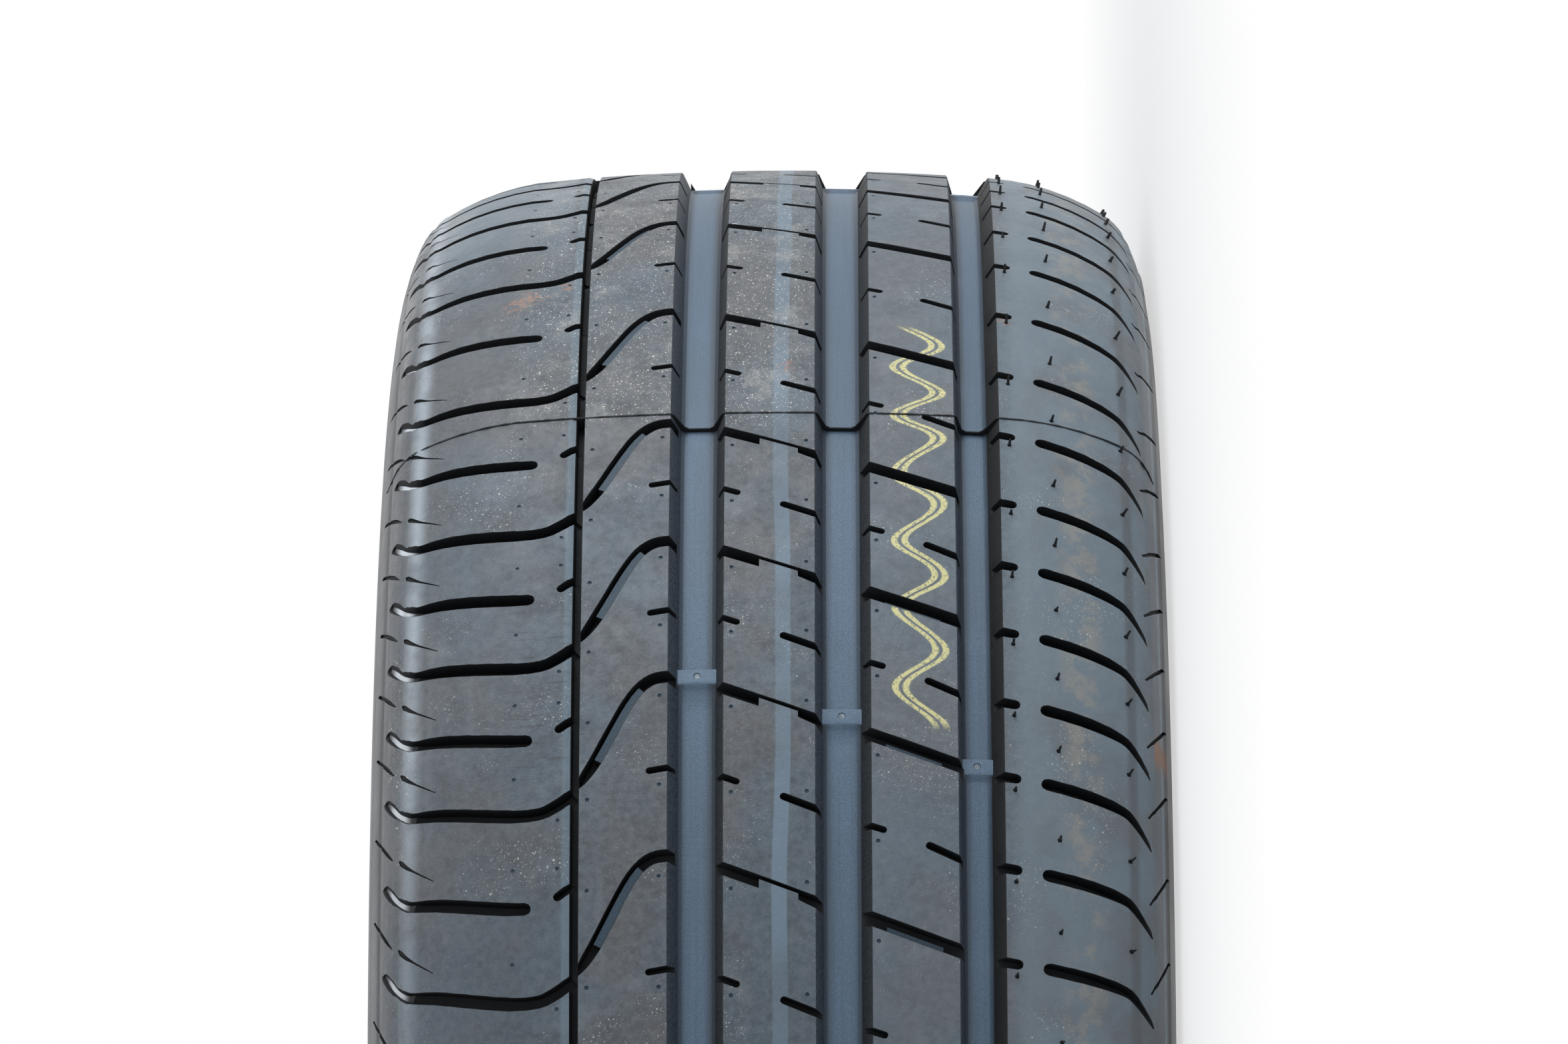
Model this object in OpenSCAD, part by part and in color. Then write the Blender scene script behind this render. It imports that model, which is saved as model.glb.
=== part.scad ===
// Radial car tyre without its wheel, lying on its sidewall.
// The spin axis is +Z and the origin is the centre of the tyre.
// Across the tread, places are heights above the middle plane.
// Along the tread, they are arc lengths on the rolling surface.

/* [Size] */
// Overall diameter across the tread
outer_d = 653; // [640:1:680]
// Width from sidewall to sidewall
section_w = 248; // [242:1:256]
// Diameter of the two bead seats that grip the rim
bead_d = 436.6; // [430:0.1:444]
// Distance between the two bead heels, as wide as the rim
rim_w = 216; // [208:1:222]

/* [Section] */
// Slope of the tread where the shoulder curve begins, in degrees
crown_slope = 4.7; // [3.5:0.1:6]
// Radius of the shoulder curve beside the tread
shoulder_r = 83; // [74:1:90]
// Radius of the corner between shoulder and sidewall
corner_r = 20; // [15:0.5:24]
// Radius of the upper sidewall
sidewall_r = 70; // [60:1:80]
// Rubber and plies between the groove floor and the cavity
under_tread = 7; // [6:0.5:10]
// Thickness of the sidewall at its widest place
sidewall_t = 9; // [7:0.5:12]
// Height of the rib that guards the rim, above the bead seat
guard_h = 24; // [21:1:28]
// How far the rim guard stands out from the bead heel
guard_out = 13; // [9:0.5:16]

/* [Bead] */
// Width of the bead from heel to toe
bead_w = 18; // [15:0.5:21]
// Radius of the bead heel
heel_r = 6.5; // [5:0.5:8]
// Bevel at the bead toe
toe_bevel = 1.5; // [1:0.1:2.5]

/* [Grooves] */
// Depth of the three wide grooves
groove_depth = 7.5; // [6:0.1:8.5]
// Distance of the two middle grooves from the middle plane
mid_groove_z = 22.5; // [21:0.5:24]
// Width of the two middle grooves at the surface
mid_groove_w = 16.4; // [13:0.2:18]
// Distance of the lower outer groove from the edge of the crown
low_groove_in = 8.3; // [7.5:0.1:11]
// Width of the lower outer groove at the surface
low_groove_w = 13.5; // [11:0.2:15]
// How far each wide groove wall leans in on its way to the floor
groove_draft = 2.8; // [1:0.1:4]
// Distance of the fine upper groove from the edge of the crown
fine_groove_in = 13.6; // [12:0.1:16]
// Width of the fine upper groove
fine_groove_w = 2.2; // [1.5:0.1:3]
// Depth of the fine upper groove
fine_groove_depth = 5; // [3:0.5:6.5]

/* [Cross slots] */
// Width of the long slots on both shoulders
shoulder_slot_w = 3.7; // [2.5:0.1:4.5]
// Width of the slots that cross a rib
rib_slot_w = 3.4; // [2.4:0.1:4.2]
// Width of the short notches between two slots
notch_w = 1.8; // [1.2:0.1:2.6]
// Width of the thin cut in the middle rib
sipe_w = 0.9; // [0.6:0.1:1.4]
// Depth of the cross slots
slot_depth = 6.2; // [4.5:0.1:7]
// Depth of the shallow stretch in the curved slot
shallow_depth = 2.4; // [1.5:0.1:4]
// Tilt of the shoulder slots' floor, in degrees
shoulder_tilt = 10.5; // [9:0.5:12]

/* [Pitches] */
// Length of a short pitch of the pattern
pitch_short = 50; // [46:0.5:54]
// Length of a middle pitch
pitch_middle = 59; // [55:0.5:63]
// Length of a long pitch
pitch_long = 68; // [64:0.5:72]
// Angle of the first pitch about the axis, in degrees
pattern_start = -82.7; // [-180:0.1:180]

/* [Wear bars] */
// Number of wear bars in each wide groove
wear_bars = 6; // [3:1:8]
// Height of a wear bar above the groove floor
wear_bar_h = 1.6; // [1:0.1:2.4]
// Length of a wear bar along the groove
wear_bar_l = 5.6; // [4:0.2:9]

/* [Hidden] */
$fn = 180;

rubber = [0.17, 0.18, 0.19];
outer_r = outer_d / 2;
half_w = section_w / 2;
bead_r = bead_d / 2;
heel_z = rim_w / 2;
toe_z = heel_z - bead_w;

// Slopes, in degrees, at which one arc of the outside ends and the next begins
shoulder_end = 32;
corner_end = 65;
arc_step = 9.5;
// How far the groove sections stand out of the tread
margin = 0.6;
// How far the slot cutters stand out of the tread
cutter_reach = 12;

// Order of the pitch lengths round the tyre: 0 short, 1 middle, 2 long.
// The uneven order keeps the tread from humming at one note.
pitch_order = [
    1, 0, 0, 1, 2, 1, 0, 0, 1, 2, 2, 1, 0, 1, 2, 1, 0, 0,
    1, 2, 2, 1, 0, 1, 2, 2, 1, 0, 0, 1, 2, 1, 0, 0, 2];
pitch_lengths = [for (k = pitch_order) [pitch_short, pitch_middle, pitch_long][k]];
function sum_to(list, n) = n <= 0 ? 0 : list[n - 1] + sum_to(list, n - 1);
pitches = len(pitch_order);
// The lengths are stretched a little, so that whole pitches close the ring
pitch_fit = PI * outer_d / sum_to(pitch_lengths, pitches);

function along(s) = s / outer_r * 180 / PI;

// Points of an arc that starts at p = [height, radius] and turns from slope a0 to slope a1
function arc(p, rad, a0, a1) = let (n = max(1, ceil(abs(a1 - a0) / arc_step)))
    [for (i = [1:n]) let (a = a0 + (a1 - a0) * i / n)
        p + rad * [sin(a) - sin(a0), cos(a) - cos(a0)]];
function last(list) = list[len(list) - 1];

// The shoulder arcs run outwards this far, and the crown takes the rest of the half width
shoulder_run = shoulder_r * (sin(shoulder_end) - sin(crown_slope))
    + corner_r * (sin(corner_end) - sin(shoulder_end)) + sidewall_r * (1 - sin(corner_end));
crown_z = half_w - shoulder_run;
crown_r = crown_z / sin(crown_slope);
function crown(z) = outer_r - crown_r + sqrt(crown_r * crown_r - z * z);

shoulder_pts = arc([crown_z, crown(crown_z)], shoulder_r, crown_slope, shoulder_end);
corner_pts = arc(last(shoulder_pts), corner_r, shoulder_end, corner_end);
upper_pts = arc(last(corner_pts), sidewall_r, corner_end, 90);
wide_r = last(upper_pts)[1];
guard_r = bead_r + guard_h;
guard_z = heel_z + guard_out;

// Bulge of the flank between the widest place and the rim guard
flank_bulge = 4;

// Outside of one half from the crown's end to the bead toe, as [height, radius]
function outside_half() = concat(
    [[crown_z, crown(crown_z)]], shoulder_pts, corner_pts,
    upper_pts,
    [[half_w - 0.6, (wide_r + guard_r) / 2 + flank_bulge],
     [guard_z + 0.8, guard_r + 5], [guard_z + 1, guard_r + 1], [guard_z, guard_r - 2.5],
     [heel_z + guard_out / 4, guard_r - 9], [heel_z, guard_r - guard_out]],
    [for (a = [0:22.5:90]) [heel_z - heel_r + heel_r * cos(a), bead_r + heel_r - heel_r * sin(a)]],
    [[toe_z + toe_bevel, bead_r], [toe_z, bead_r + toe_bevel]]);

inner_crown_r = crown_r - groove_depth - under_tread;
inner_start = [inner_crown_r * sin(crown_slope),
    outer_r - groove_depth - under_tread - inner_crown_r * (1 - cos(crown_slope))];
inner_wide_z = half_w - sidewall_t;
inner_shoulder_r = (inner_wide_z - inner_start[0]) / (1 - sin(crown_slope));
inner_shoulder_pts = arc(inner_start, inner_shoulder_r, crown_slope, 90);
// The cavity's lower curve turns in above the bead
inner_low_r = 55;
inner_low_end = 35;
inner_low_pts = [for (i = [1:6]) let (a = inner_low_end * i / 6)
    last(inner_shoulder_pts) + inner_low_r * [cos(a) - 1, -sin(a)]];

// Cavity side of one half from the crown to just above the bead toe
function inside_half() = concat(
    [[0, outer_r - groove_depth - under_tread], inner_start], inner_shoulder_pts, inner_low_pts);

function flip(list) = [for (p = list) [-p[0], p[1]]];
function back(list) = [for (i = [len(list) - 1:-1:0]) list[i]];
function swap(list) = [for (p = list) [p[1], p[0]]];

// A groove that runs round the tread, from height a to height b, as points of its section
module groove_section(a, b, depth, draft)
    polygon([[crown(a) + margin, a - draft * margin / depth],
             [crown((a + b) / 2) - depth, a + draft],
             [crown((a + b) / 2) - depth, b - draft],
             [crown(b) + margin, b + draft * margin / depth]]);

// Both outer grooves keep their distance from the crown's edge
low_groove_z = crown_z - low_groove_in;
fine_groove_z = crown_z - fine_groove_in;
mid_a = mid_groove_z - mid_groove_w / 2;
mid_b = mid_groove_z + mid_groove_w / 2;
low_a = low_groove_z - low_groove_w / 2;
low_b = low_groove_z + low_groove_w / 2;
fine_a = fine_groove_z - fine_groove_w / 2;
fine_b = fine_groove_z + fine_groove_w / 2;

module section() {
    difference() {
        polygon(swap(concat(
            [for (z = [0, mid_a, mid_b, fine_a, fine_b]) [z, crown(z)]],
            outside_half(), back(inside_half()),
            flip(inside_half()), back(flip(outside_half())),
            [for (z = [low_b, low_a, mid_b, mid_a]) [-z, crown(z)]])));
        groove_section(mid_a, mid_b, groove_depth, groove_draft);
        groove_section(-mid_b, -mid_a, groove_depth, groove_draft);
        groove_section(-low_b, -low_a, groove_depth, groove_draft);
        groove_section(fine_a, fine_b, fine_groove_depth, 0);
    }
}

// Helpers for the slots: a path is a list of [along, across] points
function unit(v) = v / norm(v);
function heading(p, i) = unit(p[min(i + 1, len(p) - 1)] - p[max(i - 1, 0)]);
function beside(p, i, k) = p[i] + k * [-heading(p, i)[1], heading(p, i)[0]];
function curve(a, b, c, d, n) = [for (i = [0:n]) let (t = i / n, u = 1 - t)
    u * u * u * a + 3 * u * u * t * b + 3 * u * t * t * c + t * t * t * d];
// The two corners that blunt the end of a path
function blunt(p, w) = let (n = len(p) - 1, h = heading(p, n))
    [for (k = [1, -1]) p[n] + w * (0.4 * h + 0.22 * k * [-h[1], h[0]])];

// A band along a path, as wide at each point as the list w says, with a blunt or a square end
module band(p, w, blunt_end = false) {
    n = len(p) - 1;
    polygon(concat(
        [for (i = [0:n]) beside(p, i, w[i] / 2)],
        blunt_end ? blunt(p, w[n]) : [],
        [for (i = [n:-1:0]) beside(p, i, -w[i] / 2)]));
}

// Sinks a flat outline into the tread, square to the surface at [s, z]
module sink(s, z, depth, tilt = 0)
    rotate([0, 0, along(s)])
        translate([crown(min(abs(z), crown_z)) - depth, 0, z])
            rotate([0, -tilt, 0])
                rotate([90, 0, 90])
                    linear_extrude(depth + cutter_reach)
                        translate([-s, -z])
                            children();

// How far the cutters of a slot reach into the groove that it opens into
edge_in = groove_draft + margin;
// Height at which the tilted shoulder slots have their full depth
shoulder_pivot = crown_z - 12.7;
// Height that is a share f of the way across the upper rib, or of half the middle rib
function upper_rib(f) = mid_b + f * (fine_groove_z - mid_b);
function middle_rib(f) = mid_a * f;

// Straight cut between two points, with a square or a blunt end
module bar(a, b, w, depth, blunt_end = false)
    sink((a[0] + b[0]) / 2, (a[1] + b[1]) / 2, depth) band([a, b], [w, w], blunt_end);

// Upper shoulder slot, with a narrow end that runs out over the corner
outer_end = [[12, half_w - 7.2], [6, half_w - 11.4], [3.8, half_w - 17]];
outer_end_w = [1.2, 2.2, shoulder_slot_w];
module upper_slot_long() {
    bend = curve([0.2, fine_b + 20.8], [-1.4, fine_b + 10.8], [2, fine_b + 5.8],
        [7.4, fine_groove_z + 0.2], 4);
    sink(4, shoulder_pivot, slot_depth, shoulder_tilt)
        band(concat(outer_end, bend), concat(outer_end_w, [for (p = bend) shoulder_slot_w]));
}
module upper_slot_short()
    sink(4, shoulder_pivot, slot_depth, shoulder_tilt)
        band(concat(outer_end, [[0.2, fine_b + 20.8], [0.2, fine_b + 14]]),
            concat(outer_end_w, [shoulder_slot_w, shoulder_slot_w]), true);

// Curved slot from the fine groove to the upper middle groove, deep at both ends
module curved_slot() {
    turns = [[8, fine_a + 0.2], [18, upper_rib(0.75)], [38, upper_rib(0.4)],
        [43.6, upper_rib(0.245)], [45.7, mid_b - edge_in]];
    depths = [slot_depth, shallow_depth, slot_depth, slot_depth];
    for (i = [0:3]) {
        lap = 0.5 * unit(turns[i + 1] - turns[i]);
        bar(turns[i] - (i > 0 ? lap : [0, 0]), turns[i + 1] + lap, rib_slot_w * 0.8, depths[i]);
    }
}

// Middle rib: one straight edge from groove to groove, wide at both ends and thin between
module middle_slot() {
    slant = 0.38;
    function edge(z) = 38 + slant * z;
    z0 = mid_a + edge_in;
    z1 = middle_rib(0.22);
    z2 = middle_rib(-0.61);
    wide_s = rib_slot_w * 1.1;
    sink(37, 0, slot_depth)
        polygon([[edge(z0), z0], [edge(z0) - wide_s, z0], [edge(z1) - wide_s, z1],
                 [edge(z1) - sipe_w, z1], [edge(z2) - sipe_w, z2],
                 [edge(z2) - 0.8 * wide_s, z2], [edge(-z0) - wide_s, -z0], [edge(-z0), -z0]]);
}

// Lower rib: one slanted slot from groove to groove
module low_rib_slot() {
    a = [25.6, -mid_b];
    b = [15.6, -low_a];
    d = (a - b) / (a[1] - b[1]);
    bar(a + d * edge_in, b - d * edge_in, rib_slot_w, slot_depth);
}

// Lower shoulder: a notch at the groove and a slot that bends round the corner
module low_shoulder_cuts() {
    bar([12.6, edge_in - low_b], [11.5, -low_b - 4], notch_w * 1.55, slot_depth, true);
    path = [[-5.5, 8 - half_w], [0, 11.4 - half_w], [3.8, 14.6 - half_w],
        [6, 20 - half_w], [10.2, -low_b - 14.3]];
    full_w = shoulder_slot_w * 0.9;
    sink(4, -shoulder_pivot, slot_depth, -shoulder_tilt)
        band(path, [0.9, 1.6, 2.4, full_w, full_w], true);
}

module full_pitch_cuts() {
    upper_slot_long();
    curved_slot();
    middle_slot();
    low_rib_slot();
    low_shoulder_cuts();
}

// Between two pitches: short notches that open into the grooves
notch_depth = slot_depth - 1;
module half_pitch_cuts() {
    upper_slot_short();
    bar([7.6, fine_groove_z], [4, fine_groove_z + 5], notch_w * 1.35, notch_depth, true);
    bar([44.8, mid_b - edge_in], [43.6, mid_b + 6], notch_w, notch_depth);
    bar([42.5, mid_a + edge_in], [39.2, mid_a - 5.4], notch_w, notch_depth);
    bar([29.6, -mid_a - edge_in], [35.2, middle_rib(-0.23)], notch_w, notch_depth);
    bar([25.8, edge_in - mid_b], [23.7, -mid_b - 4.7], notch_w, notch_depth);
    bar([13.4, -low_a - edge_in], [19.5, 10.3 - low_a], notch_w, notch_depth);
    low_shoulder_cuts();
}

module tread_cuts() {
    for (i = [0:pitches - 1]) {
        start = sum_to(pitch_lengths, i) * pitch_fit;
        rotate([0, 0, pattern_start + along(start)]) full_pitch_cuts();
        rotate([0, 0, pattern_start + along(start + pitch_lengths[i] * pitch_fit / 2)]) half_pitch_cuts();
    }
}

// Low bars across the grooves that show when the tread is worn down.
// Each stands in the groove floor and in both walls.
bar_seat = 0.5;
module wear_bar(z, groove_w, s) {
    w = groove_w - 2 * groove_draft + 2 * bar_seat + 0.6;
    rotate([0, 0, pattern_start + along(s)])
        translate([crown(abs(z)) - groove_depth - bar_seat, -wear_bar_l / 2, z - w / 2])
            cube([bar_seat + wear_bar_h, wear_bar_l, w]);
}

// The bars of the three grooves follow each other at a slant
module wear_bar_set() {
    for (i = [0:wear_bars - 1]) {
        s = i * PI * outer_d / wear_bars;
        wear_bar(mid_groove_z, mid_groove_w, s + 111);
        wear_bar(-mid_groove_z, mid_groove_w, s + 97);
        wear_bar(-low_groove_z, low_groove_w, s + 80);
    }
}

module tyre() {
    color(rubber) difference() {
        union() {
            rotate_extrude() section();
            wear_bar_set();
        }
        tread_cuts();
    }
}

tyre();
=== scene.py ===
# Looks of a car tyre: moulded rubber with its tread pattern, mould marks, dust and chalk.
# The tyre lies on its sidewall, as in the CAD, so the spin axis is +Z.
# Tread shapes are drawn flat, as along, across and lift in millimetres, and then bent round.
import math
import random

import bmesh
import bpy
from mathutils import Matrix, Vector


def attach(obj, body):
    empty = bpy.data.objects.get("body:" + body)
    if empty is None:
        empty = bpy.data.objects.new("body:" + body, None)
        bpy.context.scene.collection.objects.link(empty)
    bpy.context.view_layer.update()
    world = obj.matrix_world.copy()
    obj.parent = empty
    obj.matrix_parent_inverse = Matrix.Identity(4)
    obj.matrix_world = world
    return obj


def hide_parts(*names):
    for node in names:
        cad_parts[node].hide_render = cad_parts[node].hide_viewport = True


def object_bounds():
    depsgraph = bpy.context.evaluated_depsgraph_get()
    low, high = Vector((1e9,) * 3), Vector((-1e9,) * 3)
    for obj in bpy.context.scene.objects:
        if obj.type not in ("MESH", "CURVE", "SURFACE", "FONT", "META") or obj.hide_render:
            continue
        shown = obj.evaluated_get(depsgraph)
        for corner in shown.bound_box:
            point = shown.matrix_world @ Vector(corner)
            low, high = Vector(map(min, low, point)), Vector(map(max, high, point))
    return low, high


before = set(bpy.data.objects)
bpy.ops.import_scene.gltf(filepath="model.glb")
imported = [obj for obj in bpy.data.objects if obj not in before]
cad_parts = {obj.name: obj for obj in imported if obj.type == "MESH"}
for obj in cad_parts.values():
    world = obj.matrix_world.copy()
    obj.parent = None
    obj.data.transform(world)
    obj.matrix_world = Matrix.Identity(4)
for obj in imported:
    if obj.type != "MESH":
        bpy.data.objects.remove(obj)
cad_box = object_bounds()

MM = 0.001
OUTER_R = 326.5
HALF_W = 124.0
BEAD_R = 218.3
HEEL_Z = 108.0
TOE_Z = 90.0
STEPS = 180
GIRTH = 2 * math.pi * OUTER_R

# Arcs of one half of the outside, from the middle plane to the widest place: radius and end slope
ARC_SHAPES = ((887.6, 4.7), (83.0, 32.0), (20.0, 65.0), (70.0, 90.0))

# Pitch lengths round the tyre: 0 short, 1 middle, 2 long
PITCH_LENGTHS = (50.0, 59.0, 68.0)
PITCH_ORDER = (1, 0, 0, 1, 2, 1, 0, 0, 1, 2, 2, 1, 0, 1, 2, 1, 0, 0,
               1, 2, 2, 1, 0, 1, 2, 2, 1, 0, 0, 1, 2, 1, 0, 0, 2)
PATTERN_START = math.radians(-82.7)

# Materials of the tyre, in the order of its slots
TREAD, GROOVE, WEAR_BAR, UPPER_WALL, LOWER_WALL, SLOT, LEDGE, SLOT_END, DIMPLE_GLINT, SIDEWALL, LINER, BEAD = range(12)


def outside_arcs():
    arcs, z, r, slope = [], 0.0, OUTER_R, 0.0
    for radius, end in ARC_SHAPES:
        a, b = math.radians(slope), math.radians(end)
        reach = radius * (math.sin(b) - math.sin(a))
        arcs.append((z, r, radius, a, z + reach))
        z += reach
        r += radius * (math.cos(b) - math.cos(a))
        slope = end
    return arcs


ARCS = outside_arcs()


# Radius and slope of the outside at a height above the middle plane
def outside(across):
    h = min(abs(across), HALF_W - 0.001)
    z, r, radius, a, _ = next(arc for arc in ARCS if h <= arc[4] + 1e-6)
    slope = math.asin(min(1.0, (h - z) / radius + math.sin(a)))
    return r + radius * (math.cos(slope) - math.cos(a)), math.copysign(slope, across)


# The place in the section, as height and radius, of a point that is lifted off the outside
def lifted(across, lift):
    radius, slope = outside(across)
    return across + lift * math.sin(slope), radius + lift * math.cos(slope)


def bent(along, across, lift):
    height, radius = lifted(across, lift)
    turn = PATTERN_START + along / OUTER_R
    return Vector((radius * math.cos(turn), radius * math.sin(turn), height)) * MM


# Upper wall, floor and lower wall of a wide groove, as height and lift
def groove_strips(top, low, depth, lean_top, lean_low):
    foot_top, foot_low = (top - lean_top - 0.7, -depth), (low + lean_low + 0.7, -depth)
    bend_top, bend_low = (top - 0.85 * lean_top, 0.9 - depth), (low + 0.85 * lean_low, 0.9 - depth)
    return [([(top + 0.35, 0), (top, -0.35), bend_top], UPPER_WALL),
            ([bend_top, foot_top, foot_low, bend_low], GROOVE),
            ([bend_low, (low, -0.35), (low - 0.35, 0)], LOWER_WALL)]


# Wide grooves: upper and lower edge, depth, and how far each wall leans in
UPPER_MIDDLE = (30.8, 14.4, 7.5, 3.2, 2.7)
LOWER_MIDDLE = (-14.2, -30.7, 7.5, 2.6, 3.2)
LOWER_OUTER = (-57.7, -71.2, 7.5, 1.9, 3.6)
FINE_EDGE = [(62.2, 0), (60.6, -0.5)]
FINE_GROOVE = [(60.6, -0.5), (60.35, -0.9), (60.2, -5), (58.1, -5), (57.95, -0.15), (57.8, 0)]


# Heights on the curved shoulder, from the widest place inwards
def shoulder_heights():
    steps = [(65, 90, 4), (32, 65, 5), (4.7, 32, 6)]
    heights = []
    for (low, high, count), (z, r, radius, a, _) in zip(steps, reversed(ARCS)):
        for i in range(count):
            slope = math.radians(high - (high - low) * i / count)
            heights.append(z + radius * (math.sin(slope) - math.sin(a)))
    return heights


# A shoulder's profile with its fine mould lines: each line is (height, half width, lift)
def shoulder_profile(lines):
    points = [(z, 0.0) for z in shoulder_heights() if all(abs(z - line[0]) > line[1] * 1.4 for line in lines)]
    for height, half, lift in lines:
        points += [(height + half, 0.0), (height, lift), (height - half, 0.0)]
    return sorted(points, reverse=True)


UPPER_LINES = ((122.4, 0.35, -0.3), (119.3, 0.4, -0.35), (113.4, 1.2, -0.5), (110.3, 1.5, 0.22))
LOWER_LINES = ((121.6, 0.35, 0.35), (116.8, 1.0, -0.35))


# The sidewall and the rim guard of one half, as height and radius
SIDEWALL_POINTS = [(124.0, 273.9), (123.95, 269.5), (124.25, 268.9), (124.25, 267.9), (123.85, 267.3), (123.4, 262.1),
                   (122.6, 256.6), (122.8, 256.0), (122.7, 255.2), (122.3, 254.6), (121.8, 249.8), (121.9, 246.8),
                   (122.1, 243.8), (121.6, 241.4), (120.2, 239.4), (116.0, 236.7), (112.0, 233.9), (111.2, 232.9),
                   (110.6, 231.9), (108.6, 229.0), (108.0, 226.0)]
HEEL_POINTS = [(HEEL_Z - 6.5 + 6.5 * math.cos(math.radians(a)), BEAD_R + 6.5 - 6.5 * math.sin(math.radians(a)))
               for a in range(0, 91, 18)]
BEAD_POINTS = [(108.0, 226.0)] + HEEL_POINTS + [(91.5, BEAD_R), (TOE_Z, BEAD_R + 1.5)]


def liner_points():
    points = [(TOE_Z, BEAD_R + 1.5)]
    points += [(115 + 55 * (math.cos(a) - 1), 261.9 - 55 * math.sin(a))
               for a in (math.radians(35 * (1 - i / 4)) for i in range(5))]
    first = math.radians(4.7)
    for i in range(1, 7):
        slope = math.radians(90 - 85.3 * i / 6)
        points.append((71.54 + 47.34 * (math.sin(slope) - math.sin(first)),
                       309.06 + 47.34 * (math.cos(slope) - math.cos(first))))
    return points + [(35.0, 311.3), (0.0, 312.0)]


def mirrored(points):
    return [(-z, r) for z, r in points]


# The strips of the section that are turned round the axis, each with its material
def body_strips():
    def tread(points):
        return [lifted(z, lift) for z, lift in points]
    upper = shoulder_profile(UPPER_LINES)
    lower = [(-z, lift) for z, lift in reversed(shoulder_profile(LOWER_LINES))]
    ribs = [[(62.2, 0)], [(57.8, 0), (49, 0), (40, 0), (31.15, 0)], [(14.05, 0), (5, 0), (-5, 0), (-13.85, 0)],
            [(-31.05, 0), (-40, 0), (-49, 0), (-57.35, 0)], [(-71.55, 0)]]
    wide = [strip for groove in (UPPER_MIDDLE, LOWER_MIDDLE, LOWER_OUTER) for strip in groove_strips(*groove)]
    upper_side = [p for p in upper if p[0] >= 118]
    lower_side = [p for p in lower if p[0] <= -118]
    return [
        (tread(upper_side + [next(p for p in upper if p[0] < 118)]), SIDEWALL),
        (tread([p for p in upper if p[0] < 118] + ribs[0]), TREAD),
        (tread(FINE_EDGE), TREAD), (tread(FINE_GROOVE), SLOT),
        (tread(ribs[1]), TREAD), (tread(ribs[2]), TREAD), (tread(ribs[3]), TREAD),
        (tread(ribs[4] + [p for p in lower if p[0] > -118]), TREAD),
        (tread([[p for p in lower if p[0] > -118][-1]] + lower_side), SIDEWALL),
        ([lifted(*upper[0])] + SIDEWALL_POINTS[1:], SIDEWALL),
        ([lifted(*lower[-1])] + mirrored(SIDEWALL_POINTS[1:]), SIDEWALL),
        (BEAD_POINTS, BEAD), (mirrored(BEAD_POINTS), BEAD),
        (liner_points(), LINER), (mirrored(liner_points()), LINER)] + [(tread(points), kind) for points, kind in wide]


# Moves all of one mesh into another
def pour(part, whole):
    mesh = bpy.data.meshes.new("part")
    part.to_mesh(mesh)
    part.free()
    whole.from_mesh(mesh)
    bpy.data.meshes.remove(mesh)


def turned_strip(points, material):
    bm = bmesh.new()
    verts = [bm.verts.new((r * MM, 0, z * MM)) for z, r in points]
    edges = [bm.edges.new(pair) for pair in zip(verts, verts[1:])]
    bmesh.ops.spin(bm, geom=verts + edges, cent=(0, 0, 0), axis=(0, 0, 1), dvec=(0, 0, 0),
                   angle=2 * math.pi, steps=STEPS, use_merge=True)
    for face in bm.faces:
        face.material_index = material
    return bm


def turned_body():
    bm = bmesh.new()
    for points, material in body_strips():
        pour(turned_strip(points, material), bm)
    bmesh.ops.remove_doubles(bm, verts=bm.verts, dist=2e-6)
    bmesh.ops.recalc_face_normals(bm, faces=bm.faces)
    return bm


# Extrudes a closed ring from section to section and caps both ends. The paint rule gives each side its material.
def sweep(bm, rings, paint):
    first = [bm.verts.new(p) for p in rings[0]]
    face = bm.faces.new(first)
    start_material = paint(None, [vert.co.z for vert in first])
    for ring in rings[1:]:
        face = bmesh.ops.extrude_discrete_faces(bm, faces=[face])["faces"][0]
        for vert, place in zip(face.verts, ring):
            vert.co = place
        for side, edge in enumerate(face.edges):
            wall = next(other for other in edge.link_faces if other is not face)
            wall.material_index = paint(side, [vert.co.z for vert in wall.verts])
    face.material_index = paint(None, [vert.co.z for vert in face.verts])
    bm.faces.new(reversed(first)).material_index = start_material


# Paint rules: they take the side of the ring, or None for a cap, and the lifts of the face's corners
def all_over(material):
    return lambda side, lifts: material


def shallow_floor(side, lifts):
    return LEDGE if all(-2.7 < lift < -0.35 for lift in lifts) else SLOT


# The side of a slot's ring that is its floor
FLOOR = 2


# The floor of a slot's shallow end gets the painted glint
def bright_end_floor(side, lifts):
    return SLOT_END if side == FLOOR and min(lifts) > -3.4 else SLOT


# Extra points that close a path with a round end: each path point is (along, across, width, depth, rim)
def round_end(path, first=False):
    path = path[::-1] if first else path
    (s0, z0), (s1, z1) = path[-2][:2], path[-1][:2]
    ahead = Vector((s1 - s0, z1 - z0)).normalized()
    width, depth = path[-1][2:4]
    for degrees in (40, 72):
        t = math.radians(degrees)
        reach = ahead * width / 2 * math.sin(t)
        path = path + [(s1 + reach.x, z1 + reach.y, width * math.cos(t), depth, math.cos(t))]
    return path[::-1] if first else path


# A smooth path through a few points (Catmull-Rom), each (along, across, width, depth)
def smooth(points, count):
    points = [Vector(p) for p in points]
    path = []
    for i in range(len(points) - 1):
        a, b, c, d = (points[max(0, min(len(points) - 1, i + k))] for k in (-1, 0, 1, 2))
        for j in range(count):
            t = j / count
            path.append(0.5 * (2 * b + (c - a) * t + (2 * a - 5 * b + 4 * c - d) * t * t
                               + (3 * b - a - 3 * c + d) * t ** 3))
    return [tuple(p) + (1.0,) for p in path + [points[-1]]]


def straight(*points):
    return [tuple(p) + (1.0,) for p in points]


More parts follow.
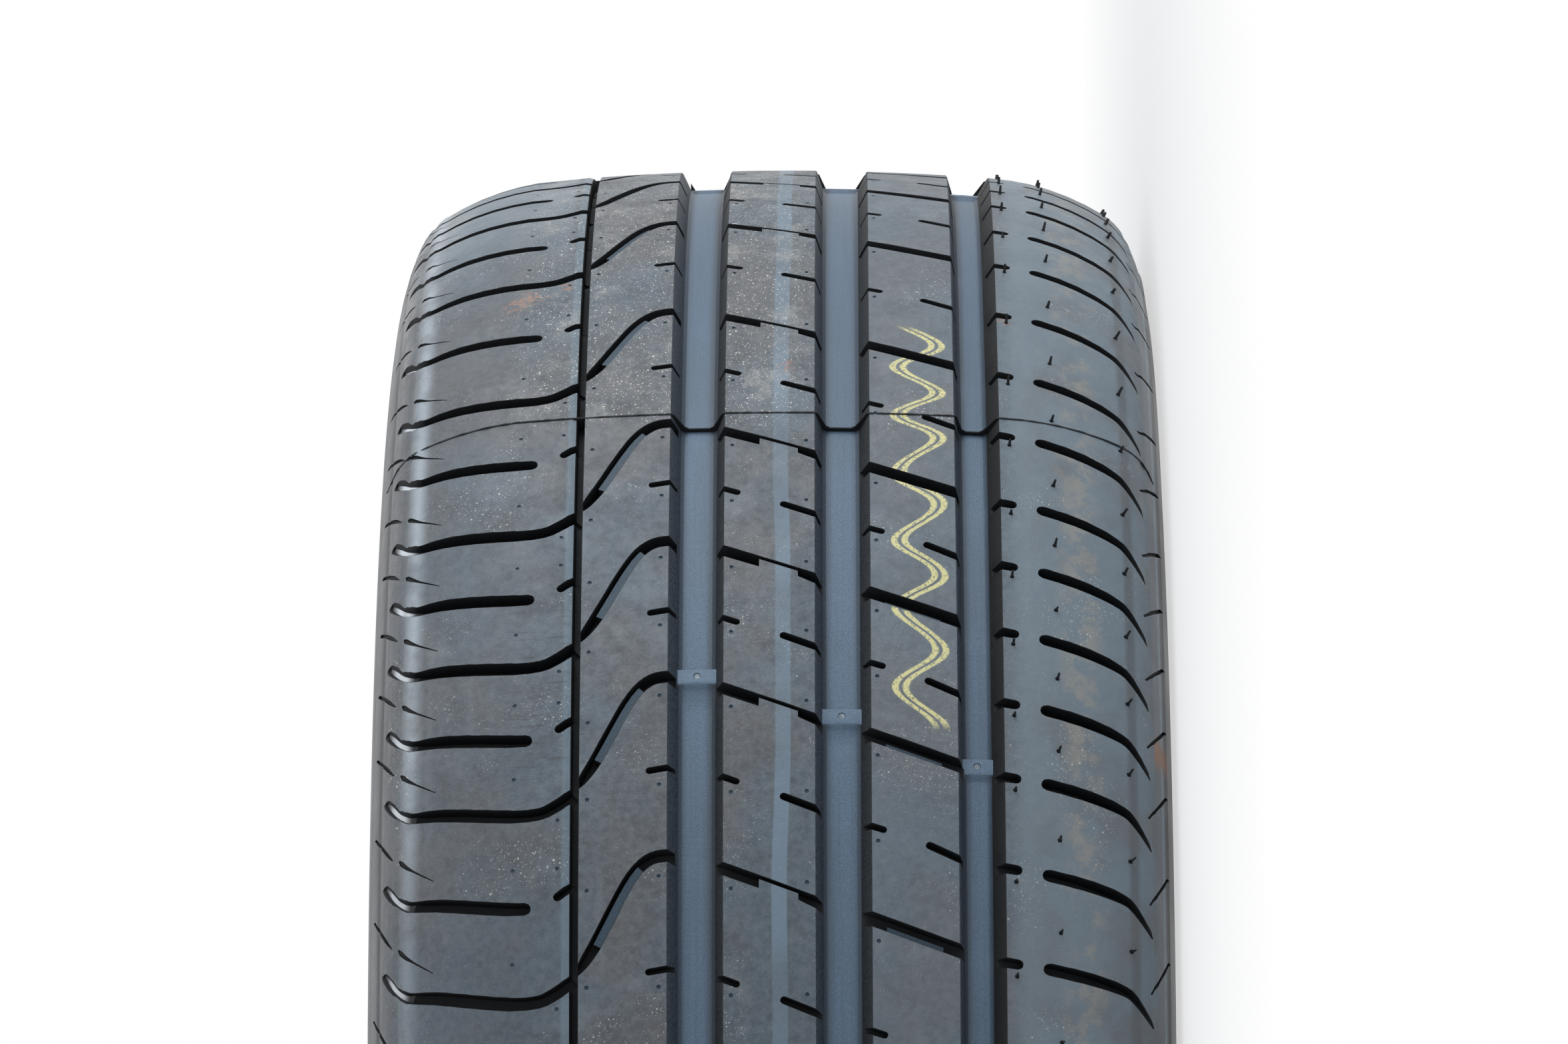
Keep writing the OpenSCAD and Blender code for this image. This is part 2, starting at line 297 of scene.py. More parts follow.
# Gives a path that runs down the tread a floor in steps, as (lowest height, depth) pairs
def stepped(path, levels):
    def depth(z):
        return next(d for low, d in levels if z >= low)
    out = [path[0][:3] + (depth(path[0][1]), path[0][4])]
    for a, b in zip(path, path[1:]):
        for low, _ in levels:
            if a[1] >= low > b[1]:
                for side in (0.02, -0.02):
                    m = Vector(a).lerp(Vector(b), (a[1] - low) / (a[1] - b[1]) - side)
                    out.append((m[0], m[1], m[2], depth(m[1]), 1.0))
        out.append(b[:3] + (depth(b[1]), b[4]))
    return out


# The direction across a path at one of its points
def square_to(path, i):
    before, after = path[max(i - 1, 0)], path[min(i + 1, len(path) - 1)]
    return Vector((before[1] - after[1], after[0] - before[0])).normalized()


# Sections of a slot along its path, with a flared rim and leaning walls. Where it is shallow, one wall may slope more.
def slot_rings(path, side=None, flare=0.15, lean=0.25, stand=0.7, slope=0.0):
    rings = []
    for i, (s, z, width, depth, rim) in enumerate(path):
        across = side or square_to(path, i)
        edge = min(flare, depth * 0.4)
        foot = width / 2 - min(lean, 0.3 * width)
        sloped = foot - slope * width * max(0.0, min(1.0, (3.0 - depth) / 1.5))
        wide = width / 2 + (edge + stand) * rim
        outline = ((-wide, stand), (-width / 2, -edge), (-foot, -depth), (sloped, -depth), (width / 2, -edge), (wide, stand))
        rings.append([(s + u * across[0], z + u * across[1], lift) for u, lift in outline])
    return rings


# Sections of a slot that is deep on one side, with a ledge beside it at the depth that each point gives
def ledge_rings(path, deep_width, side=None):
    rings = []
    for i, (s, z, width, depth, _) in enumerate(path):
        across = side or square_to(path, i)
        half = width / 2
        step = half - min(deep_width, 0.6 * width)
        outline = ((-half - 0.85, 0.7), (-half, -0.15), (-half + 0.1, -depth), (step, -depth - 0.01),
                   (step + 0.05, -SLOT_DEPTH), (half - 0.1, -SLOT_DEPTH), (half, -0.15), (half + 0.85, 0.7))
        rings.append([(s + u * across[0], z + u * across[1], lift) for u, lift in outline])
    return rings


# A round hole or stud: rings are (lift, radius, shift along the tread)
def round_rings(s, z, rings, sides=8):
    return [[(s + shift + radius * math.cos(2 * math.pi * k / sides), z + radius * math.sin(2 * math.pi * k / sides), lift)
             for k in range(sides)] for lift, radius, shift in rings]


def pit_rings(s, z, radius=0.75, depth=0.45):
    return round_rings(s, z, ((-depth, radius * 0.6, 0), (0.4, radius * 1.35, 0)), 6)


SLOT_DEPTH = 6.2
LEDGE_DEPTH = 1.0
# The shallow outer end that both upper shoulder slots share, as along, across, width and depth
OUTER_END = [(12.5, 117.2, 1.8, 0.8), (11.5, 116.7, 2.2, 1.2), (9.4, 115.5, 2.6, 1.4), (7.3, 114.1, 2.7, 1.5),
             (5.6, 112.4, 2.8, 1.7), (4.4, 110.5, 3.0, 2.2), (3.7, 108.0, 3.4, 4.2), (3.1, 101, 4.0, SLOT_DEPTH)]


def upper_long_slot():
    path = smooth(OUTER_END + [
        (1.4, 90, 4.1, SLOT_DEPTH), (0.1, 78, 4.1, SLOT_DEPTH), (0.7, 70, 4.0, SLOT_DEPTH), (2.4, 66, 3.9, SLOT_DEPTH),
        (5.0, 62, 3.8, SLOT_DEPTH), (7.4, 59.2, 3.6, SLOT_DEPTH)], 2)
    return slot_rings(round_end(path, first=True), slope=0.35), bright_end_floor


def upper_short_slot():
    path = smooth(OUTER_END + [(1.4, 90, 4.1, SLOT_DEPTH), (0.2, 80, 4.1, SLOT_DEPTH), (0.1, 74.2, 4.0, SLOT_DEPTH)], 2)
    return slot_rings(round_end(round_end(path), first=True), slope=0.35), bright_end_floor


def curved_slot():
    path = smooth([(9.0, 58.3, 1.2, 1), (10.8, 57.1, 2.4, 1), (13.0, 55.7, 3.2, 1), (17.6, 52.9, 3.8, 1),
                   (25.6, 48.8, 3.9, 1), (33.1, 45.1, 3.8, 1), (39.1, 41.7, 3.7, 1), (42.8, 38.6, 3.7, 1),
                   (44.8, 35.6, 3.8, 1), (45.5, 32.6, 3.9, 1), (45.7, 28.8, 3.9, 1)], 2)
    return ledge_rings(stepped(path, ((52.7, 5.0), (39.4, LEDGE_DEPTH), (0, SLOT_DEPTH - 0.05))), 1.25), shallow_floor


# The slots that cross a rib: each point is (far edge along the tread, height, width)
def edge_slot(points, depth=SLOT_DEPTH):
    return slot_rings([(s - w / 2, z, w, depth, 1.0) for s, z, w in points], side=(1, 0)), all_over(SLOT)


def middle_slot():
    def edge(z):
        return 37.95 + 0.384 * z
    heights = ((17.2, 4.1), (14.2, 4.1), (3.25, 4.0), (3.2, 1.15), (-8.65, 1.15), (-8.7, 3.1), (-14.2, 3.8), (-17.2, 3.9))
    return edge_slot([(edge(z), z, w) for z, w in heights])


def lower_rib_slot():
    path = [(25.6 + 0.37 * (z + 30.7), z, 4.5, 2.2 if -53 < z < -35.45 else SLOT_DEPTH - 0.05, 1.0)
            for z in (-27.8, -35.4, -35.5, -52.5, -53.1, -59.6)]
    return ledge_rings(path, 3.1, side=(1, 0)), shallow_floor


def notch(a, b, width, depth=SLOT_DEPTH - 1, round_tip=True):
    path = straight(tuple(a) + (width, depth), tuple(b) + (width, depth))
    return slot_rings(round_end(path) if round_tip else path), all_over(SLOT)


def lower_shoulder_slot():
    path = smooth([(-6.0, -116.4, 0.7, 0.5), (-3.2, -114.6, 1.3, 0.9), (0, -112.4, 1.9, 1.6), (3.3, -109.8, 2.6, 3.2),
                   (5.0, -107.2, 3.2, 5.2), (6.6, -102.4, 3.6, SLOT_DEPTH), (8.4, -95, 3.8, SLOT_DEPTH),
                   (10.4, -84.4, 3.7, SLOT_DEPTH)], 2)
    return slot_rings(round_end(path)), all_over(SLOT)


def sipe(points, depth=0.8):
    return slot_rings([(s, z, w, depth, 0.4) for s, z, w in points], flare=0.0, lean=0.1, stand=0.5), all_over(SLOT)


def shoulder_marks():
    return [sipe([(33.5, 121.2, 0.5), (28.5, 119.0, 0.7), (24.3, 117.0, 0.9), (20.9, 115.0, 0.3)]),
            sipe([(20.2, 113.2, 0.7), (18.9, 112.2, 1.5), (17.2, 110.6, 1.1), (15.2, 108.0, 0.6), (11.2, 102.0, 0.25)]),
            sipe([(5.0, -115.5, 0.6), (10.2, -118.2, 0.7), (18.3, -121.4, 0.45)])]


# Round pits beside the slots, for full and half pitches
PIT_PLACES = {
    True: ((12.3, 77.7), (-1.5, 64.3), (39.2, 33.5), (4.9, 55.3), (35.0, 11.7), (36.9, -11.3), (18.7, -32.9)),
    False: ((12.3, 77.7), (12.6, 64.3), (39.0, 33.5), (5.4, 55.3), (36.2, 11.7), (36.4, -11.3), (20.5, -32.9)),
}
STUD_PLACES = ((22, -88), (8, -74.6), (18, -109.6))


def full_pitch():
    return [upper_long_slot(), curved_slot(), middle_slot(), lower_rib_slot()]


def half_pitch():
    return [upper_short_slot(),
            notch((7.6, 58.8), (3.6, 64.2), 2.6),
            notch((44.8, 28.8), (43.5, 36.6), 2.0),
            notch((42.4, 17.4), (39.6, 10.0), 2.0),
            notch((29.4, -17.2), (34.7, -4.2), 2.2),
            notch((26.2, -27.6), (24.0, -34.6), 2.0),
            notch((13.7, -60.0), (19.1, -48.4), 2.2)]


# All cuts of a full or a half pitch: each has its rings and its paint rule
def pitch_cuts(full):
    shapes = (full_pitch() if full else half_pitch()) + shoulder_marks()
    shapes += [lower_shoulder_slot(), notch((12.7, -68.4), (11.7, -75.0), 3.1)]
    shapes += [(pit_rings(s, z), all_over(LEDGE)) for s, z in PIT_PLACES[full]]
    shapes += [(round_rings(s, z, ((-0.5, 0.5, 0), (0.4, 1.1, 0)), 5), all_over(SLOT)) for s, z in STUD_PLACES]
    return shapes


# Where each full and half pitch starts round the tyre
def pitch_starts():
    fit = GIRTH / sum(PITCH_LENGTHS[k] for k in PITCH_ORDER)
    start = 0.0
    for k in PITCH_ORDER:
        yield start, True
        yield start + PITCH_LENGTHS[k] * fit / 2, False
        start += PITCH_LENGTHS[k] * fit


def flat_mesh(name, shapes):
    bm = bmesh.new()
    for rings, paint in shapes:
        sweep(bm, rings, paint)
    bmesh.ops.recalc_face_normals(bm, faces=bm.faces)
    mesh = bpy.data.meshes.new(name)
    bm.to_mesh(mesh)
    bm.free()
    return mesh


# Adds one copy of a flat mesh at each start along the tread, bent round the tyre
def bend_copies(bm, mesh, starts):
    flat = [vert.co.copy() for vert in mesh.vertices]
    for start in starts:
        mesh.vertices.foreach_set("co", [c for p in flat for c in bent(p.x + start, p.y, p.z)])
        bm.from_mesh(mesh)
    bpy.data.meshes.remove(mesh)


def tread_cutters():
    bm = bmesh.new()
    for full in (True, False):
        bend_copies(bm, flat_mesh("cuts", pitch_cuts(full)), [start for start, kind in pitch_starts() if kind == full])
    return bm


WEAR_BARS = 6
BAR_PLACES = ((107.9, UPPER_MIDDLE), (93.6, LOWER_MIDDLE), (77.0, LOWER_OUTER))
PARTINGS = 8
PARTING_START = 209.0


def wear_bar(groove):
    top, low, depth, lean_top, lean_low = groove
    a, b = top - lean_top * 0.55, low + lean_low * 0.55
    rings = []
    for s, lift in ((-4.7, -depth - 0.05), (-3.7, 0.45 - depth), (-2.6, 1.4 - depth), (-2.0, 1.55 - depth),
                    (2.3, 1.55 - depth), (2.6, 1.35 - depth), (3.2, -depth - 0.05)):
        rings.append([(s, a, -depth - 0.9), (s, b, -depth - 0.9), (s, b, lift), (s, a, lift)])
    return rings, lambda side, lifts: WEAR_BAR if min(lifts) > 1.2 - depth else GROOVE


# The small pit in a wear bar; its floor gets a pale painted glint
def bar_dimple(groove):
    top, low, depth, lean_top, lean_low = groove
    middle = (top - lean_top + low + lean_low) / 2
    floor = 1.55 - depth
    rings = round_rings(0.2, middle, ((floor - 0.3, 0.5, 0), (floor - 0.25, 1.0, 0), (floor + 0.4, 1.55, 0)), 10)
    return rings, lambda side, lifts: DIMPLE_GLINT if max(lifts) < floor - 0.2 else LEDGE


# A thin fin that the mould leaves between two of its segments, low on the ribs and higher in the grooves, painted
# near-black as painted shade
def parting_fin():
    chance = random.Random(7)
    heights = [121 - 1.9 * i for i in range(128)]
    grooves = (UPPER_MIDDLE, LOWER_MIDDLE, LOWER_OUTER)
    top = [(z, 0.26 + chance.uniform(-0.16, 0.14)) for z in heights
           if all(not low - 1.2 < z < high + 1.2 for high, low, _, _, _ in grooves)]
    for high, low, depth, lean_high, lean_low in grooves:
        top += [(high + 0.6, 0.3), (high - 0.6, 0.1), (high - 0.7 - lean_high, 2.1 - depth), (high - 2 - lean_high, 1.3 - depth),
                (low + 2 + lean_low, 1.3 - depth), (low + 0.7 + lean_low, 2.1 - depth), (low + 0.6, 0.1), (low - 0.6, 0.3)]
    top.sort(reverse=True)
    under = [(z, -9.3 if abs(z) < 80 else -3.0) for z in range(-118, 119, 9)]
    return [[(s, z, lift) for z, lift in top + under] for s in (-0.25, 0.25)], all_over(SLOT)


def bar_starts(offset):
    return [offset + GIRTH * i / WEAR_BARS for i in range(WEAR_BARS)]


def added_shapes():
    bm = bmesh.new()
    for offset, groove in BAR_PLACES:
        bend_copies(bm, flat_mesh("bar", [wear_bar(groove)]), bar_starts(offset))
    fins = [PARTING_START + GIRTH * i / PARTINGS for i in range(PARTINGS)]
    bend_copies(bm, flat_mesh("fin", [parting_fin()]), fins)
    return bm


def dimple_cutters(bm):
    for offset, groove in BAR_PLACES:
        bend_copies(bm, flat_mesh("dimple", [bar_dimple(groove)]), bar_starts(offset))


# Short rubber whiskers left by the mould's air vents, painted near-black as painted shade
def vent_studs():
    bm = bmesh.new()
    chance = random.Random(3)
    for start, full in pitch_starts():
        shapes = []
        for s, z in STUD_PLACES:
            length = chance.uniform(1.3, 2.8)
            shift = chance.uniform(0.0, 1.2)
            rings = round_rings(s, z, ((-0.6, 0.5, 0), (0.2, 0.46, 0), (length, 0.34, shift)), 4)
            shapes.append((rings, all_over(SLOT)))
        bend_copies(bm, flat_mesh("studs", shapes), [start])
    return bm


def mesh_object(name, bm, materials=()):
    mesh = bpy.data.meshes.new(name)
    bm.to_mesh(mesh)
    bm.free()
    for material in materials:
        mesh.materials.append(material)
    piece = bpy.data.objects.new(name, mesh)
    bpy.context.scene.collection.objects.link(piece)
    return piece


# Joins or cuts one solid with another and keeps the result as plain mesh
def combine(body, tool, operation):
    modifier = body.modifiers.new("combine", "BOOLEAN")
    modifier.operation = operation
    modifier.solver = "MANIFOLD"
    modifier.object = tool
    result = bpy.data.meshes.new_from_object(body.evaluated_get(bpy.context.evaluated_depsgraph_get()))
    body.modifiers.clear()
    old = body.data
    body.data = result
    bpy.data.meshes.remove(old)
    bpy.data.objects.remove(tool)


def make_tyre(materials):
    body = mesh_object("tyre_body", turned_body(), materials)
    combine(body, mesh_object("added", added_shapes(), materials), "UNION")
    cutters = tread_cutters()
    dimple_cutters(cutters)
    combine(body, mesh_object("cutters", cutters, materials), "DIFFERENCE")
    bm = bmesh.new()
    bm.from_mesh(body.data)
    pour(vent_studs(), bm)
    bm.to_mesh(body.data)
    bm.free()
    body.data.polygons.foreach_set("use_smooth", [True] * len(body.data.polygons))
    body.data.set_sharp_from_angle(angle=math.radians(28))
    body.data.update()
    return body


class Finish:
    # One material's nodes: each method adds a node and returns its output
    def __init__(self, name):
        self.material = bpy.data.materials.new(name)
        self.material.use_nodes = True
        self.tree = self.material.node_tree
        self.shader = self.tree.nodes["Principled BSDF"]
        self.place = self.add("ShaderNodeTexCoord").outputs["Object"]
        parts = self.add("ShaderNodeSeparateXYZ", {0: self.place})
        self.x, self.y, self.height = parts.outputs
        flat = self.add("ShaderNodeCombineXYZ", {0: self.x, 1: self.y}).outputs[0]
        self.radius = self.add("ShaderNodeVectorMath", {0: flat}, operation="LENGTH").outputs["Value"]
        angle = self.math("ARCTAN2", self.y, self.x)
        self.along = self.math("MULTIPLY", self.math("SUBTRACT", angle, PATTERN_START), OUTER_R * MM)
        self.flat = self.add("ShaderNodeCombineXYZ", {0: self.along, 1: self.height, 2: self.radius}).outputs[0]

    def add(self, kind, inputs=None, **settings):
        node = self.tree.nodes.new(kind)
        for name, value in settings.items():
            setattr(node, name, value)
        for key, value in (inputs or {}).items():
            if isinstance(value, bpy.types.NodeSocket):
                self.tree.links.new(value, node.inputs[key])
            else:
                node.inputs[key].default_value = value
        return node

    def math(self, operation, a, b=0.0, clamp=False):
        return self.add("ShaderNodeMath", {0: a, 1: b}, operation=operation, use_clamp=clamp).outputs[0]

    def stretch(self, vector, scale):
        return self.add("ShaderNodeVectorMath", {0: vector, 1: scale}, operation="MULTIPLY").outputs[0]

    def noise(self, scale, detail=2.0, roughness=0.5, vector=None):
        return self.add("ShaderNodeTexNoise", {"Vector": vector or self.place, "Scale": scale, "Detail": detail,
                                               "Roughness": roughness}).outputs[0]

    def cells(self, scale, vector=None):
        return self.add("ShaderNodeTexVoronoi", {"Vector": vector or self.place, "Scale": scale})

    # Maps a value from one range to another, clamped and smooth
    def span(self, value, low, high, to_low=0.0, to_high=1.0):
        return self.add("ShaderNodeMapRange", {"Value": value, "From Min": low, "From Max": high, "To Min": to_low,
                                               "To Max": to_high}, interpolation_type="SMOOTHSTEP").outputs[0]

    def times(self, *values):
        out = values[0]
        for value in values[1:]:
            out = self.math("MULTIPLY", out, value)
        return out

    def blend(self, amount, below, above):
        node = self.add("ShaderNodeMix", data_type="RGBA")
        for socket, value in zip((node.inputs[0], node.inputs[6], node.inputs[7]), (amount, below, above)):
            if isinstance(value, bpy.types.NodeSocket):
                self.tree.links.new(value, socket)
            else:
                socket.default_value = value if isinstance(value, float) else (*value, 1)
        return node.outputs[2]

    # 1 inside a band of one value with soft edges
    def band(self, value, low, high, soft):
        return self.math("MULTIPLY", self.span(value, low - soft, low + soft), self.span(value, high - soft, high + soft, 1, 0))

    # 1 near a place on the tread, as (along, across) in metres
    def spot(self, along, across, reach):
        a = self.math("SUBTRACT", self.along, along)
        b = self.math("SUBTRACT", self.height, across)
        far = self.math("SQRT", self.math("ADD", self.times(a, a), self.times(b, b)))
        return self.span(far, reach * 0.2, reach, 1, 0)

    def finish(self, colour, roughness, bump=None, bump_height=0.0002):
        for name, value in (("Base Color", colour), ("Roughness", roughness)):
            if isinstance(value, bpy.types.NodeSocket):
                self.tree.links.new(value, self.shader.inputs[name])
            else:
                self.shader.inputs[name].default_value = value if isinstance(value, float) else (*value, 1)
        if bump is not None:
            node = self.add("ShaderNodeBump", {"Height": bump, "Distance": bump_height})
            self.tree.links.new(node.outputs[0], self.shader.inputs["Normal"])
        return self.material


# One long wandering chalk squiggle on the lower rib: two strokes side by side, worn like crayon on rubber
def chalk(f):
    turn = f.math("ADD", f.math("MULTIPLY", f.along, 2 * math.pi / 0.0265), f.math("MULTIPLY", f.noise(14, 1), 5.0))
    middle = f.math("ADD", f.math("MULTIPLY", f.math("SINE", turn), 0.0062), -0.0462)
    off = f.math("ABSOLUTE", f.math("SUBTRACT", f.height, middle))
    lines = f.band(off, 0.0006, 0.0026, 0.0003)
    reach = f.band(f.along, 0.088, 0.254, 0.002)
    grain = f.span(f.noise(1300, 2), 0.33, 0.5, 0.25, 1.0)
    return f.times(lines, reach, grain)


def tread_rubber():
    f = Finish("tread_rubber")
    cloudy = f.math("ADD", f.noise(20, 4, 0.6), f.span(f.height, -0.04, -0.1, 0.0, -0.09))
    patches = f.noise(75, 3, 0.65)
    colour = f.blend(f.span(cloudy, 0.38, 0.6), (0.08, 0.112, 0.14), (0.1, 0.1, 0.106))
    colour = f.blend(f.span(patches, 0.35, 0.7, 0.0, 0.55), colour, (0.056, 0.064, 0.076))
    fine = f.noise(420, 4, 0.7)
    colour = f.blend(f.span(fine, 0.4, 0.7, 0.0, 0.55), colour, (0.14, 0.158, 0.176))
    colour = f.blend(f.span(fine, 0.5, 0.25, 0.0, 0.5), colour, (0.042, 0.048, 0.057))
    # The lower shoulder is paler and bluer: partly the rubber's own tone, partly painted light that stands in for light
    # bounced up from the floor. The rib beside it is a little paler, and the upper shoulder gets painted shade
    colour = f.blend(f.span(f.height, -0.068, -0.08, 0.0, 0.75), colour, (0.18, 0.23, 0.27))
    colour = f.blend(f.times(f.band(f.height, -0.058, -0.03, 0.001), 0.28), colour, (0.165, 0.205, 0.24))
    colour = f.blend(f.span(f.height, 0.06, 0.08, 0.0, 0.25), colour, (0.055, 0.066, 0.08))
    # Painted sheen: the upper shoulder is lighter further round the tyre, where it turns towards the sky light
    high = f.times(f.band(f.height, 0.064, 0.108, 0.003), f.span(f.along, 0.27, 0.36, 0.0, 0.45))
    colour = f.blend(high, colour, (0.2, 0.26, 0.31))
    # Pale smudges, and faint rings that the mould leaves round the ribs
    smudge = f.span(f.noise(48, 5, 0.65), 0.56, 0.72, 0.0, 0.4)
    colour = f.blend(smudge, colour, (0.2, 0.225, 0.24))
    rings = f.noise(1, 2, 0.6, f.stretch(f.flat, (5.0, 150.0, 0.0)))
    colour = f.blend(f.span(rings, 0.52, 0.8, 0.0, 0.22), colour, (0.15, 0.19, 0.22))
    wander = f.math("ADD", f.height, f.span(f.noise(9, 1), 0.3, 0.7, -0.0008, 0.0008))
    stripe = f.times(f.band(wander, -0.0057, -0.001, 0.0003), f.span(f.noise(26, 2), 0.35, 0.62, 0.45, 0.9))
    colour = f.blend(stripe, colour, (0.155, 0.215, 0.275))
    # A pale edge beside the fine groove
    colour = f.blend(f.times(f.band(f.height, 0.0598, 0.063, 0.0006), 0.6), colour, (0.15, 0.21, 0.26))
    # Scuffs beside the fine groove
    scuff = f.noise(1, 3, 0.6, f.stretch(f.flat, (620.0, 60.0, 0.0)))
    scuff = f.times(f.span(scuff, 0.54, 0.66), f.spot(0.1, 0.073, 0.06), f.band(f.height, 0.0615, 0.081, 0.004))
    colour = f.blend(f.times(scuff, 0.6), colour, (0.04, 0.04, 0.045))
    # Painted highlight: a pale band along the upper shoulder corner, and darker colour beyond it towards the edge
    corner = f.times(f.band(f.height, 0.1082, 0.1114, 0.0028), f.span(f.noise(55, 3, 0.6), 0.3, 0.6, 0.3, 1.0),
                     f.span(f.along, 0.02, 0.1, 0.45, 1.0))
    colour = f.blend(corner, colour, (0.4, 0.45, 0.5))
    colour = f.blend(f.span(f.height, 0.1125, 0.116, 0.0, 0.5), colour, (0.06, 0.058, 0.066))
    # The lower corner: a darker line and tan dust beside it
    colour = f.blend(f.times(f.band(f.height, -0.1122, -0.1094, 0.0009), 0.55), colour, (0.06, 0.064, 0.07))
    worn = f.times(f.span(f.height, -0.074, -0.086), f.span(f.noise(34, 3, 0.6), 0.45, 0.68, 0.0, 0.6))
    colour = f.blend(worn, colour, (0.125, 0.122, 0.126))
    tan = f.times(f.band(f.height, -0.101, -0.09, 0.004), f.span(f.noise(110, 4, 0.7), 0.45, 0.62, 0.0, 0.6))
    colour = f.blend(tan, colour, (0.3, 0.275, 0.235))
    # Bright grit, thickest above the parting line
    above = f.times(f.band(f.along, 0.208, 0.6, 0.008), f.band(f.height, -0.012, 0.078, 0.008))
    crowd = f.math("ADD", f.span(f.noise(42, 3, 0.6), 0.5, 0.72, 0.06, 0.85), f.times(above, 1.0), True)
    # Dust drifts in pale patches above the parting line
    drift = f.times(above, f.span(f.noise(52, 5, 0.7), 0.5, 0.68), f.span(f.noise(900, 3, 0.7), 0.35, 0.6, 0.15, 0.7))
    colour = f.blend(drift, colour, (0.34, 0.335, 0.32))
    for scale, size, low, strength in ((240, 0.11, 0.7, 1.0), (330, 0.14, 0.68, 1.0), (700, 0.22, 0.6, 1.0), (1500, 0.32, 0.52, 0.75)):
        cells = f.cells(scale)
        chosen = f.span(cells.outputs["Color"], low, low + 0.05)
        speck = f.times(f.span(cells.outputs["Distance"], size * 0.4, size, 1, 0), chosen, crowd, strength)
        colour = f.blend(speck, colour, (0.85, 0.81, 0.72))
    # Brick dust in a few places
    for along, across, reach in ((0.2785, 0.0755, 0.0062), (0.2745, 0.0812, 0.0055), (0.2325, -0.005, 0.0045),
                                 (0.262, -0.0735, 0.004), (0.284, 0.0655, 0.0035)):
        dust = f.times(f.spot(along, across, reach), f.span(f.noise(380, 5, 0.75), 0.47, 0.6), 0.85)
        colour = f.blend(dust, colour, (0.4, 0.175, 0.09))
    colour = f.blend(chalk(f), colour, (0.7, 0.64, 0.3))
    grain = f.math("ADD", f.noise(2600, 2), f.math("MULTIPLY", f.noise(300, 3), 1.4))
    rough = f.math("SUBTRACT", f.span(patches, 0.3, 0.7, 0.4, 0.56), f.span(f.height, 0.095, 0.108, 0.0, 0.14))
    return f.finish(colour, rough, grain, 0.00012)


def groove_rubber():
    f = Finish("groove_rubber")
    grain = f.noise(1900, 3, 0.6)
    colour = f.blend(f.span(grain, 0.3, 0.7), (0.09, 0.146, 0.215), (0.134, 0.21, 0.3))
    colour = f.blend(f.span(f.noise(16, 3), 0.4, 0.7, 0.0, 0.35), colour, (0.1, 0.13, 0.165))
    streaks = f.noise(1, 3, 0.6, f.stretch(f.flat, (14.0, 700.0, 0.0)))
    colour = f.blend(f.span(streaks, 0.45, 0.7, 0.0, 0.35), colour, (0.075, 0.105, 0.14))
    colour = f.blend(f.span(f.along, 0.12, 0.3, 0.0, 0.35), colour, (0.07, 0.11, 0.16))
    # Painted shade: the floors darken towards their walls
    middle_floors = f.math("ADD", f.band(f.height, 0.0186, 0.0266, 0.0019), f.band(f.height, -0.0266, -0.0179, 0.0019))
    open_floor = f.math("ADD", middle_floors, f.band(f.height, -0.0668, -0.0605, 0.0016))
    colour = f.blend(f.math("SUBTRACT", 1.0, open_floor), colour, (0.035, 0.045, 0.06))
    return f.finish(colour, 0.5, grain, 0.00015)


def plain_rubber(name, scale, dark, light, rough, bump=0.0001, gloss=0.5):
    f = Finish(name)
    f.shader.inputs["Specular IOR Level"].default_value = gloss
    grain = f.noise(scale, 3, 0.6)
    return f.finish(f.blend(f.span(grain, 0.32, 0.68), dark, light), rough, grain, bump)


# The lower walls of the wide grooves: painted shade, darker than the upper walls
def lower_wall_shade():
    f = Finish("lower_wall_shade")
    f.shader.inputs["Specular IOR Level"].default_value = 0.35
    grain = f.noise(1100, 3, 0.6)
    colour = f.blend(f.span(grain, 0.32, 0.68), (0.009, 0.011, 0.013), (0.027, 0.03, 0.034))
    # Painted shade, darkest in the outer groove
    colour = f.blend(f.span(f.height, -0.05, -0.06, 0.0, 0.8), colour, (0.004, 0.004, 0.0045))
    return f.finish(colour, 0.65, grain, 0.00015)


# Painted glint: a bright streak on the floor of the slots' shallow outer ends, the rest dark like the slots
def slot_end_glint():
    f = Finish("slot_end_glint")
    painted_glint = f.times(f.span(f.noise(260, 2), 0.2, 0.5, 0.6, 1.0), f.band(f.height, 0.1103, 0.1158, 0.0014))
    return f.finish(f.blend(painted_glint, (0.012, 0.015, 0.018), (0.75, 0.79, 0.83)), 0.35, f.noise(600, 3), 0.0002)


